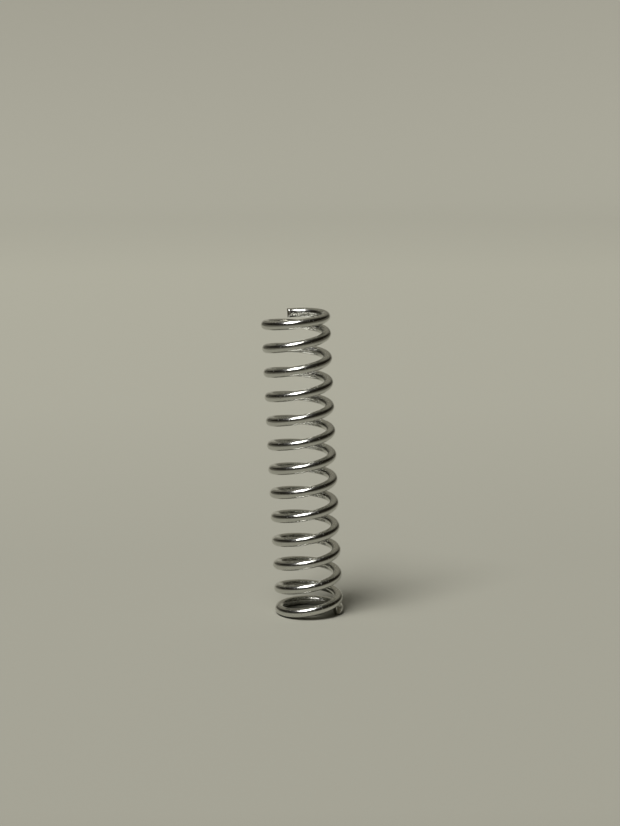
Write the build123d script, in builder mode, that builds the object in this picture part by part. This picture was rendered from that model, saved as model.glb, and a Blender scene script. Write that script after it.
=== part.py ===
from build123d import *
from math import cos, radians, sin, tan
import os

# Small compression spring, coiled right-handed from one length of round spring wire.
# Both ends are closed and left unground: the last turn is laid down beside its neighbour and
# the wire is sheared off. The lower closed turn lies flat, as the spring stands on it, but in a
# plane that is a few degrees out of square with the coil, as unground ends are. Z is the coil
# axis, and the origin is on it, level with the lowest point of the wire.

# Driving dimensions, in millimetres, turns and degrees
wire_diameter = 0.8
outside_diameter = 6.0
free_length = 26.8
total_turns = 13.36  # tip to tip, with one closed turn at each end
lower_tip_gap = 0.03  # clear space between the lower tip and the turn above it
upper_tip_gap = 0.11  # clear space between the upper tip and the turn below it
lower_opening_height = 0.24  # the wire reaches its full pitch this far above the closed turn
upper_opening_height = 1.0  # the same at the upper end
lower_tip_bearing = -24.0  # direction of the lower tip from the axis, measured from +X
seat_tilt = 2.5  # angle between the lower closed turn and square
seat_tilt_bearing = 195.0  # direction in which the lower closed turn is highest
tip_edge_radius = 0.05  # edge of each sheared tip
points_per_turn = 16  # of the path that the wire follows

# Derived dimensions
wire_radius = wire_diameter / 2
coil_radius = outside_diameter / 2 - wire_radius
active_turns = total_turns - 2


def bearing(turn):
    """Direction of the wire from the axis, in degrees, counted in turns from the lower tip."""
    return lower_tip_bearing + 360 * turn


def seat_height(turn):
    """Height of the plane that the lower closed turn lies on, under the wire at this turn."""
    seat_rise = coil_radius * tan(radians(seat_tilt))
    return seat_rise * (1 + cos(radians(bearing(turn) - seat_tilt_bearing)))


lower_neighbour_height = seat_height(0) + wire_diameter + lower_tip_gap
upper_neighbour_height = wire_diameter + upper_tip_gap
coiled_height = free_length - wire_diameter - lower_neighbour_height - upper_neighbour_height
pitch = coiled_height / active_turns


def opened(clearance, opening_height):
    """How far the wire has left a closed turn, where the active coil would be clearance above it.

    It is the greater of the clearance and nothing, with the pitch opening evenly in between.
    """
    if clearance <= -opening_height:
        return 0
    if clearance >= opening_height:
        return clearance
    return (clearance + opening_height) ** 2 / (4 * opening_height)


def wire_centre(turn):
    """Point on the wire's centre line, counted in turns from the lower tip."""
    if turn < total_turns / 2:
        active_coil = lower_neighbour_height + pitch * (turn - 1)
        clearance = active_coil - seat_height(turn)
        height = wire_radius + seat_height(turn) + opened(clearance, lower_opening_height)
    else:
        clearance = upper_neighbour_height + pitch * (total_turns - turn - 1)
        height = free_length - wire_radius - opened(clearance, upper_opening_height)
    angle = radians(bearing(turn))
    return (coil_radius * cos(angle), coil_radius * sin(angle), height)


def heading(turn):
    """Direction in which the wire runs."""
    step = 0.001
    return Vector(*wire_centre(turn + step)) - Vector(*wire_centre(turn - step))


path_steps = round(total_turns * points_per_turn)
path_turns = [total_turns * step / path_steps for step in range(path_steps + 1)]

with BuildPart() as spring:
    with BuildLine():
        centre_line = Spline(
            *[wire_centre(turn) for turn in path_turns],
            tangents=[heading(0), heading(total_turns)],
            tangent_scalars=[1, 1],
        )
    with BuildSketch(Plane(origin=centre_line @ 0, z_dir=centre_line % 0)):
        Circle(wire_radius)
    sweep(is_frenet=True)
    sheared_tips = spring.faces().filter_by(GeomType.PLANE)
    fillet(sheared_tips.edges(), tip_edge_radius)

os.makedirs("parts", exist_ok=True)
spring.part.label = "spring"
export_step(spring.part, "parts/spring.step")
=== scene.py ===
from math import acos, cos, pi, radians, sin, tan

import bmesh
import bpy
from mathutils import Matrix, Vector


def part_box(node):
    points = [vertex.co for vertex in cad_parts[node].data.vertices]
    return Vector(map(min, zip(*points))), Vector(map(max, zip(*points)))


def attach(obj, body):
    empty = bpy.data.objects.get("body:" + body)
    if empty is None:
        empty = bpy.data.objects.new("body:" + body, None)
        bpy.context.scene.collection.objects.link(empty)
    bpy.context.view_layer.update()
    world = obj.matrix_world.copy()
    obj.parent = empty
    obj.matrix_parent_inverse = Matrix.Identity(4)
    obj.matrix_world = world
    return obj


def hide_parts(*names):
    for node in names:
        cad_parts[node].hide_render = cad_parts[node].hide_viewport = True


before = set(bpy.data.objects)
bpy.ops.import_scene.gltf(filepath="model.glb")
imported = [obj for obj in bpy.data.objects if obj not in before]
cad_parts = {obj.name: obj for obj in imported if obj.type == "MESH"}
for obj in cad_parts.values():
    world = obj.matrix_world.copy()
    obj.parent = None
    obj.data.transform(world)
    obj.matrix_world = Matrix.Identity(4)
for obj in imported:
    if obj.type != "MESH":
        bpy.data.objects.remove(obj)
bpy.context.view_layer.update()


# --- Spring wire ---------------------------------------------------------------------------
# One length of hard-drawn spring steel, zinc plated bright and coiled right-handed on an
# arbor. The closed turns at both ends and the active coil between them follow one rule for
# the height of the wire, so the whole coil grows from a geometry-node tree.

def add(tree, kind, inputs=(), **settings):
    """Adds a node to a tree. Its settings are properties of the node, and its inputs are values
    or links, by name or in order. A node given as an input stands for its first output."""
    node = tree.nodes.new(kind)
    for name, value in settings.items():
        setattr(node, name, value)
    by_socket = inputs if isinstance(inputs, dict) else dict(enumerate(inputs))
    for socket, value in by_socket.items():
        if isinstance(value, bpy.types.Node):
            value = value.outputs[0]
        if isinstance(value, bpy.types.NodeSocket):
            tree.links.new(value, node.inputs[socket])
        else:
            node.inputs[socket].default_value = value
    return node


MM = 0.001
PER_MM = 1 / MM
spring_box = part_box("spring")
spring_low, spring_high = Vector(spring_box[0]), Vector(spring_box[1])
outside_diameter = spring_high.x - spring_low.x
free_length = spring_high.z - spring_low.z
wire_diameter = 0.8 * MM
coil_radius = (outside_diameter - wire_diameter) / 2
seat_tilt = radians(2.5)  # of the lower closed turn, out of square with the coil
seat_tilt_bearing = radians(195)  # where the lower closed turn is highest

coil_sizes = {
    "Outside Diameter": outside_diameter,
    "Wire Diameter": wire_diameter,
    "Free Length": free_length,
    "Turns": 13.36,
    "Tip Bearing": radians(-24),
    "Lower Tip Gap": 0.03 * MM,
    "Upper Tip Gap": 0.11 * MM,
    "Lower Opening Height": 0.24 * MM,
    "Upper Opening Height": 1.0 * MM,
    "Seat Tilt": seat_tilt,
    "Seat Tilt Bearing": seat_tilt_bearing,
    "Steps": 1283,  # points along the wire, 96 a turn
    "Sides": 36,  # of the round wire
}


def closed_coil_tree():
    """Geometry nodes that coil a round wire with closed ends from the named sizes."""
    tree = bpy.data.node_groups.new("closed_coil", "GeometryNodeTree")
    for name, value in coil_sizes.items():
        kind = "NodeSocketInt" if isinstance(value, int) else "NodeSocketFloat"
        tree.interface.new_socket(name, in_out="INPUT", socket_type=kind)
    tree.interface.new_socket("Material", in_out="INPUT", socket_type="NodeSocketMaterial")
    tree.interface.new_socket("Geometry", in_out="OUTPUT", socket_type="NodeSocketGeometry")
    size = add(tree, "NodeGroupInput").outputs

    wire_radius = add(tree, "ShaderNodeMath", (size["Wire Diameter"], 0.5), operation="MULTIPLY")
    radius = add(tree, "ShaderNodeMath", (size["Outside Diameter"], 0.5), operation="MULTIPLY")
    radius = add(tree, "ShaderNodeMath", (radius, wire_radius), operation="SUBTRACT")
    seat_slope = add(tree, "ShaderNodeMath", (size["Seat Tilt"],), operation="TANGENT")
    seat_rise = add(tree, "ShaderNodeMath", (radius, seat_slope), operation="MULTIPLY")

    def seat_height(bearing):
        """Height of the plane under the lower closed turn, at a bearing from the axis."""
        swing = add(tree, "ShaderNodeMath", (bearing, size["Seat Tilt Bearing"]),
                    operation="SUBTRACT")
        swing = add(tree, "ShaderNodeMath", (swing,), operation="COSINE")
        swing = add(tree, "ShaderNodeMath", (swing, 1.0), operation="ADD")
        return add(tree, "ShaderNodeMath", (seat_rise, swing), operation="MULTIPLY")

    def opened(clearance, opening_height):
        """The clearance of the active coil over a closed turn, eased in from nothing."""
        doubled = add(tree, "ShaderNodeMath", (opening_height, 2.0), operation="MULTIPLY")
        divisor = add(tree, "ShaderNodeMath", (opening_height, 4.0), operation="MULTIPLY")
        eased = add(tree, "ShaderNodeMath", (clearance, opening_height), operation="ADD")
        eased = add(tree, "ShaderNodeMath", (eased, 0.0), operation="MAXIMUM")
        eased = add(tree, "ShaderNodeMath", (eased, doubled), operation="MINIMUM")
        eased = add(tree, "ShaderNodeMath", (eased, eased), operation="MULTIPLY")
        eased = add(tree, "ShaderNodeMath", (eased, divisor), operation="DIVIDE")
        beyond = add(tree, "ShaderNodeMath", (clearance, opening_height), operation="SUBTRACT")
        beyond = add(tree, "ShaderNodeMath", (beyond, 0.0), operation="MAXIMUM")
        return add(tree, "ShaderNodeMath", (eased, beyond), operation="ADD")

    progress = add(tree, "GeometryNodeSplineParameter").outputs["Factor"]
    turn = add(tree, "ShaderNodeMath", (progress, size["Turns"]), operation="MULTIPLY")
    turn_left = add(tree, "ShaderNodeMath", (size["Turns"], turn), operation="SUBTRACT")
    bearing = add(tree, "ShaderNodeMath", (turn, 2 * pi, size["Tip Bearing"]),
                  operation="MULTIPLY_ADD")

    # Height of the turn next to each closed turn, and the pitch that the free length leaves
    lower_neighbour = add(tree, "ShaderNodeMath",
                          (seat_height(size["Tip Bearing"]), size["Wire Diameter"]),
                          operation="ADD")
    lower_neighbour = add(tree, "ShaderNodeMath", (lower_neighbour, size["Lower Tip Gap"]),
                          operation="ADD")
    upper_neighbour = add(tree, "ShaderNodeMath", (size["Wire Diameter"], size["Upper Tip Gap"]),
                          operation="ADD")
    coiled = add(tree, "ShaderNodeMath", (size["Free Length"], size["Wire Diameter"]),
                 operation="SUBTRACT")
    coiled = add(tree, "ShaderNodeMath", (coiled, lower_neighbour), operation="SUBTRACT")
    coiled = add(tree, "ShaderNodeMath", (coiled, upper_neighbour), operation="SUBTRACT")
    active_turns = add(tree, "ShaderNodeMath", (size["Turns"], 2.0), operation="SUBTRACT")
    pitch = add(tree, "ShaderNodeMath", (coiled, active_turns), operation="DIVIDE")

    # Height of the wire: up from the seat in the lower half, down from the top in the upper
    seat = seat_height(bearing)
    climb = add(tree, "ShaderNodeMath", (turn, 1.0), operation="SUBTRACT")
    climb = add(tree, "ShaderNodeMath", (climb, pitch, lower_neighbour), operation="MULTIPLY_ADD")
    climb = add(tree, "ShaderNodeMath", (climb, seat), operation="SUBTRACT")
    lower = opened(climb, size["Lower Opening Height"])
    lower = add(tree, "ShaderNodeMath", (lower, seat), operation="ADD")
    lower = add(tree, "ShaderNodeMath", (lower, wire_radius), operation="ADD")
    drop = add(tree, "ShaderNodeMath", (turn_left, 1.0), operation="SUBTRACT")
    drop = add(tree, "ShaderNodeMath", (drop, pitch, upper_neighbour), operation="MULTIPLY_ADD")
    drop = opened(drop, size["Upper Opening Height"])
    upper = add(tree, "ShaderNodeMath", (size["Free Length"], wire_radius), operation="SUBTRACT")
    upper = add(tree, "ShaderNodeMath", (upper, drop), operation="SUBTRACT")
    in_lower_half = add(tree, "ShaderNodeMath", (turn, turn_left), operation="LESS_THAN")
    height = add(tree, "ShaderNodeMix", {0: in_lower_half, 2: upper, 3: lower})

    cosine = add(tree, "ShaderNodeMath", (bearing,), operation="COSINE")
    sine = add(tree, "ShaderNodeMath", (bearing,), operation="SINE")
    place = add(tree, "ShaderNodeCombineXYZ", {
        "X": add(tree, "ShaderNodeMath", (radius, cosine), operation="MULTIPLY"),
        "Y": add(tree, "ShaderNodeMath", (radius, sine), operation="MULTIPLY"),
        "Z": height,
    })
    centre_line = add(tree, "GeometryNodeResampleCurve", {
        "Curve": add(tree, "GeometryNodeCurvePrimitiveLine"),
        "Count": size["Steps"],
    })
    centre_line = add(tree, "GeometryNodeSetPosition", {
        "Geometry": centre_line,
        "Position": place,
    })
    centre_line = add(tree, "GeometryNodeStoreNamedAttribute", {
        "Geometry": centre_line,
        "Name": "along",
        "Value": add(tree, "GeometryNodeSplineParameter").outputs["Length"],
    }, data_type="FLOAT")

    section = add(tree, "GeometryNodeCurvePrimitiveCircle", {
        "Resolution": size["Sides"],
        "Radius": wire_radius,
    })
    section = add(tree, "GeometryNodeStoreNamedAttribute", {
        "Geometry": section,
        "Name": "around",
        "Value": add(tree, "GeometryNodeInputPosition"),
    }, data_type="FLOAT_VECTOR")
    wire = add(tree, "GeometryNodeCurveToMesh", {
        "Curve": centre_line,
        "Profile Curve": section,
        "Fill Caps": True,
    })
    whole = add(tree, "GeometryNodeRealizeInstances", {"Geometry": wire})
    painted = add(tree, "GeometryNodeSetMaterial", {
        "Geometry": whole,
        "Material": size["Material"],
    })
    add(tree, "NodeGroupOutput", {"Geometry": painted})
    return tree


def linear(hex_colour):
    """Linear colour of an sRGB hex value."""
    channels = [int(hex_colour[i:i + 2], 16) / 255 for i in (1, 3, 5)]
    return [c / 12.92 if c <= 0.04045 else ((c + 0.055) / 1.055) ** 2.4 for c in channels] + [1.0]


def material(name):
    """A new material, with its node tree and its Principled shader."""
    made = bpy.data.materials.new(name)
    made.use_nodes = True
    return made, made.node_tree, made.node_tree.nodes["Principled BSDF"]


# Bright zinc plate over drawn wire: mirror-like along the wire and faintly clouded, with fine
# draw lines that spread the highlights, and a few dull specks 0.2 mm across where the plate is
# thin. Real draw lines are too fine to show, so these come 18 to the millimetre and are about
# 3 mm long.
zinc, tree, shader = material("zinc_plated_drawn_wire")
around = add(tree, "ShaderNodeAttribute", attribute_name="around").outputs["Vector"]
along = add(tree, "ShaderNodeAttribute", attribute_name="along").outputs["Fac"]
around_x, around_y, _ = add(tree, "ShaderNodeSeparateXYZ", (around,)).outputs
lines_around, lines_along = 18 * PER_MM, 0.35 * PER_MM
line_point = add(tree, "ShaderNodeCombineXYZ", {
    "X": add(tree, "ShaderNodeMath", (around_x, lines_around), operation="MULTIPLY"),
    "Y": add(tree, "ShaderNodeMath", (around_y, lines_around), operation="MULTIPLY"),
    "Z": add(tree, "ShaderNodeMath", (along, lines_along), operation="MULTIPLY"),
})
draw_lines = add(tree, "ShaderNodeTexNoise", {
    "Vector": line_point, "Scale": 1.0, "Detail": 3.0, "Roughness": 0.6,
}).outputs["Fac"]
place = add(tree, "ShaderNodeTexCoord").outputs["Object"]
cloud = add(tree, "ShaderNodeTexNoise", {
    "Vector": place, "Scale": 0.9 * PER_MM, "Detail": 2.0,
}).outputs["Fac"]
specks = add(tree, "ShaderNodeTexNoise", {
    "Vector": place, "Scale": 5.0 * PER_MM, "Detail": 1.0,
}).outputs["Fac"]
dull = add(tree, "ShaderNodeMapRange", {"Value": specks, "From Min": 0.66, "From Max": 0.74})
dull_share, dull_roughness = 0.5, 0.25
# In a colour mix, socket 0 is the share of the second colour, and 6 and 7 are the two colours.
tone = add(tree, "ShaderNodeMix", {
    0: cloud, 6: linear("#c6c6c1"), 7: linear("#d4d4cf"),
}, data_type="RGBA").outputs[2]
tone = add(tree, "ShaderNodeMix", {
    0: add(tree, "ShaderNodeMath", (dull, dull_share), operation="MULTIPLY"),
    6: tone, 7: linear("#8d8b7e"),
}, data_type="RGBA").outputs[2]
tree.links.new(tone, shader.inputs["Base Color"])
shader.inputs["Metallic"].default_value = 1.0
roughness = add(tree, "ShaderNodeMapRange", {
    "Value": draw_lines, "From Min": 0.3, "From Max": 0.7, "To Min": 0.15, "To Max": 0.22,
})
roughness = add(tree, "ShaderNodeMath", (dull, dull_roughness, roughness),
                operation="MULTIPLY_ADD")
tree.links.new(roughness.outputs[0], shader.inputs["Roughness"])
bump = add(tree, "ShaderNodeBump", {
    "Height": draw_lines, "Strength": 0.12, "Distance": 0.003 * MM,
})
tree.links.new(bump.outputs[0], shader.inputs["Normal"])

# Sheared steel: bare and torn at the wire tips, so it is duller than the plate and streaked
# in the direction of the cut, with about five tears to the millimetre.
sheared, tree, shader = material("sheared_steel")
place = add(tree, "ShaderNodeTexCoord").outputs["Object"]
tear_scale = (5 * PER_MM, 5 * PER_MM, 1.2 * PER_MM)
stretched = add(tree, "ShaderNodeMapping", {"Vector": place, "Scale": tear_scale})
tears = add(tree, "ShaderNodeTexNoise", {
    "Vector": stretched, "Scale": 1.0, "Detail": 3.0,
}).outputs["Fac"]
tone = add(tree, "ShaderNodeMix", {
    0: tears, 6: linear("#37332a"), 7: linear("#b5b1a4"),
}, data_type="RGBA").outputs[2]
tree.links.new(tone, shader.inputs["Base Color"])
shader.inputs["Metallic"].default_value = 1.0
shader.inputs["Roughness"].default_value = 0.36
bump = add(tree, "ShaderNodeBump", {"Height": tears, "Strength": 0.6, "Distance": 0.02 * MM})
tree.links.new(bump.outputs[0], shader.inputs["Normal"])

holder = bpy.data.objects.new("coil_holder", bpy.data.meshes.new("coil_holder"))
bpy.context.scene.collection.objects.link(holder)
coil = holder.modifiers.new("coil", "NODES")
coil.node_group = closed_coil_tree()
for item in coil.node_group.interface.items_tree:
    if item.in_out == "INPUT" and item.name in coil_sizes:
        coil[item.identifier] = coil_sizes[item.name]
    if item.in_out == "INPUT" and item.name == "Material":
        coil[item.identifier] = zinc
bpy.context.view_layer.update()
evaluated = holder.evaluated_get(bpy.context.evaluated_depsgraph_get())
wire_mesh = bpy.data.meshes.new_from_object(evaluated)
bpy.data.objects.remove(holder)

wire = bpy.data.objects.new("spring_wire", wire_mesh)
bpy.context.scene.collection.objects.link(wire)
wire_mesh.materials.append(sheared)


def is_tip(face):
    """Whether a face is part of a wire tip. All the others have four corners at most."""
    return len(face.verts) > 4


# Side cutters nip each tip to a low upright ridge, and its edges are slightly rounded.
tip_edge = 0.045 * MM
nip_slope = tan(radians(17))
shape = bmesh.new()
shape.from_mesh(wire_mesh)
bmesh.ops.recalc_face_normals(shape, faces=shape.faces)
for face in [face for face in shape.faces if is_tip(face)]:
    middle, outwards = face.calc_center_median(), face.normal.copy()
    ridge_line = Vector((0, 0, 1)).cross(outwards).cross(outwards).normalized()
    sidewards = ridge_line.cross(outwards)
    ring = sorted(face.verts, key=lambda vert: (vert.co - middle).dot(ridge_line))
    for vert in ring:
        vert.co -= outwards * nip_slope * abs((vert.co - middle).dot(sidewards))
    bmesh.ops.connect_verts(shape, verts=[ring[0], ring[-1]])
facets = [face for face in shape.faces if is_tip(face)]
for face in facets:
    face.material_index = 1
rims = list({edge for face in facets for edge in face.edges})
bmesh.ops.bevel(shape, geom=rims, offset=tip_edge, segments=3, profile=0.5, affect="EDGES",
                clamp_overlap=True, material=0)
for face in shape.faces:
    face.smooth = not is_tip(face)
shape.to_mesh(wire_mesh)
shape.free()
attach(wire, "root")
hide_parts("spring")


# --- Paper, light and camera ---------------------------------------------------------------
# A round sheet of pale grey-beige paper, curled up all round, lies against the closed turn, as
# the table does under the spring at rest. One large soft light hangs high in front and to the
# left, in a dim room.

# Matt paper: rough and almost without gloss, so it takes an even tone and a soft shadow, with
# a faint grain of 0.4 mm. Its colour holds painted shade and painted light: it is painted darker
# in front of the spring and to the sides, which gives the wire its dark bands, and painted
# lightest about a quarter metre behind the spring, as a painted pool of light.
paper, tree, shader = material("matt_paper")
# Painted shade: the dark tone painted on the paper in front of the spring and to its sides.
painted_shade_tone = "#5c5a50"
side_shade_slope, grain_share = 0.25, 0.06
# Painted light and shade along the paper: its tone at each distance, darkest in front where shade
# falls and lightest 0.24 m behind the spring.
painted_light_along = [  # metres away from the spring, front to back
    (-0.14, painted_shade_tone), (-0.05, "#99988d"), (0.02, "#9c9b90"), (0.10, "#a6a599"),
    (0.24, "#aeada0"), (0.36, "#aaa99d"), (0.50, "#9e9c91"),
]
front_end, back_end = -0.2, 0.5
place = add(tree, "ShaderNodeTexCoord").outputs["Object"]
across, away, _ = add(tree, "ShaderNodeSeparateXYZ", (place,)).outputs
along_sheet = add(tree, "ShaderNodeMapRange", {
    "Value": away, "From Min": front_end, "From Max": back_end,
})
painted_light_ramp = add(tree, "ShaderNodeValToRGB", {"Fac": along_sheet})
while len(painted_light_ramp.color_ramp.elements) < len(painted_light_along):
    painted_light_ramp.color_ramp.elements.new(1.0)
for element, (distance, shade) in zip(painted_light_ramp.color_ramp.elements, painted_light_along):
    element.position = (distance - front_end) / (back_end - front_end)
    element.color = linear(shade)
# Painted shade to the sides: a mask that rises beside the spring, outside a band that widens
# towards the back, and mixes the dark painted tone into the paper.
side_shade_mask = add(tree, "ShaderNodeMath", (across,), operation="ABSOLUTE")
widening = add(tree, "ShaderNodeMath", (away, side_shade_slope), operation="MULTIPLY")
side_shade_mask = add(tree, "ShaderNodeMath", (side_shade_mask, widening), operation="SUBTRACT")
side_shade_mask = add(tree, "ShaderNodeMapRange", {
    "Value": side_shade_mask, "From Min": 0.03, "From Max": 0.14,
}, interpolation_type="SMOOTHSTEP")
tone = add(tree, "ShaderNodeMix", {
    0: side_shade_mask, 6: painted_light_ramp.outputs["Color"], 7: linear(painted_shade_tone),
}, data_type="RGBA").outputs[2]
grain = add(tree, "ShaderNodeTexNoise", {
    "Vector": place, "Scale": 2.5 * PER_MM, "Detail": 3.0,
}).outputs["Fac"]
tone = add(tree, "ShaderNodeMix", {
    0: add(tree, "ShaderNodeMath", (grain, grain_share), operation="MULTIPLY"),
    6: tone, 7: linear("#7f7c70"),
}, data_type="RGBA").outputs[2]
tree.links.new(tone, shader.inputs["Base Color"])
shader.inputs["Roughness"].default_value = 0.9
shader.inputs["Specular IOR Level"].default_value = 0.15

flat_radius, bend_radius, rim_height = 0.34, 0.16, 0.12
ring_spacing, flat_rings = 0.05, 6
spokes, bend_steps = 96, 16
rim_angle = acos(1 - rim_height / bend_radius)
profile = [(ring_spacing * ring, 0.0) for ring in range(1, flat_rings + 1)]
profile.append((flat_radius, 0.0))
for step in range(1, bend_steps + 1):
    angle = rim_angle * step / bend_steps
    profile.append((flat_radius + bend_radius * sin(angle), bend_radius * (1 - cos(angle))))
points = [(0, 0, 0)]
for ring_radius, height in profile:
    for spoke in range(spokes):
        angle = 2 * pi * spoke / spokes
        points.append((ring_radius * cos(angle), ring_radius * sin(angle), height))
faces = [(0, 1 + spoke, 1 + (spoke + 1) % spokes) for spoke in range(spokes)]
for ring in range(len(profile) - 1):
    inner = 1 + ring * spokes
    outer = inner + spokes
    for spoke in range(spokes):
        following = (spoke + 1) % spokes
        faces.append((inner + spoke, outer + spoke, outer + following, inner + following))
paper_mesh = bpy.data.meshes.new("paper")
paper_mesh.from_pydata(points, [], faces)
for face in paper_mesh.polygons:
    face.use_smooth = True
paper_mesh.materials.append(paper)
sheet = bpy.data.objects.new("paper", paper_mesh)
bpy.context.scene.collection.objects.link(sheet)

# The sheet is tilted with the closed turn, and touches it from below.
uphill = Vector((cos(seat_tilt_bearing), sin(seat_tilt_bearing), 0))
seat_normal = Vector((-sin(seat_tilt) * uphill.x, -sin(seat_tilt) * uphill.y, cos(seat_tilt)))
wire_radius = wire_diameter / 2
contact_drop = wire_radius / cos(seat_tilt) - wire_radius
sheet.rotation_mode = "QUATERNION"
sheet.rotation_quaternion = Vector((0, 0, 1)).rotation_difference(seat_normal)
sheet.location = (0, 0, coil_radius * tan(seat_tilt) - contact_drop)

key_azimuth, key_elevation, key_distance = radians(236), radians(66), 1.8
key = bpy.data.lights.new("key", "AREA")
key.shape = "RECTANGLE"
key.size, key.size_y = 0.84, 1.0
key.energy, key.color = 42.0, (1.0, 0.992, 0.975)
lamp = bpy.data.objects.new("key", key)
bpy.context.scene.collection.objects.link(lamp)
spring_middle = Vector((0, 0, free_length / 2))
to_lamp = Vector((
    cos(key_azimuth) * cos(key_elevation),
    sin(key_azimuth) * cos(key_elevation),
    sin(key_elevation),
))
lamp.location = spring_middle + key_distance * to_lamp
lamp.rotation_euler = to_lamp.to_track_quat("Z", "Y").to_euler()

# The room is dark all round, and a grey wall shows high at the back.
world = bpy.data.worlds.new("dim_room")
bpy.context.scene.world = world
world.use_nodes = True
tree = world.node_tree
sight = add(tree, "ShaderNodeTexCoord").outputs["Generated"]
_, backwards, upwards = add(tree, "ShaderNodeSeparateXYZ", (sight,)).outputs
toward_wall = add(tree, "ShaderNodeMath", (backwards, upwards), operation="ADD")
wall = add(tree, "ShaderNodeMapRange", {
    "Value": toward_wall, "From Min": 0.88, "From Max": 1.36,
}, interpolation_type="SMOOTHSTEP")
room = add(tree, "ShaderNodeMix", {
    0: wall, 6: linear("#1b1810"), 7: linear("#8d8a7d"),
}, data_type="RGBA").outputs[2]
tree.links.new(room, tree.nodes["Background"].inputs["Color"])

# The camera looks slightly down at the spring from the front, and is held a little askew.
camera_distance, camera_height = 197.6 * MM, 57.468 * MM
yaw, dip, roll = 0.00438, 0.19738, -0.04673
forward = Vector((sin(yaw) * cos(dip), cos(yaw) * cos(dip), -sin(dip)))
level = Vector((cos(yaw), -sin(yaw), 0))
upward = level.cross(forward)
right = level * cos(roll) + upward * sin(roll)
top = upward * cos(roll) - level * sin(roll)
view = bpy.data.cameras.new("view")
view.sensor_fit = "VERTICAL"
view.sensor_height = 36
view.lens = 101.45
view.clip_start, view.clip_end = 0.01, 10
camera = bpy.data.objects.new("view", view)
bpy.context.scene.collection.objects.link(camera)
camera.matrix_world = Matrix((right, top, -forward)).transposed().to_4x4()
camera.location = (0, -camera_distance, camera_height)
bpy.context.scene.camera = camera
bpy.context.scene.view_settings.view_transform = "Standard"
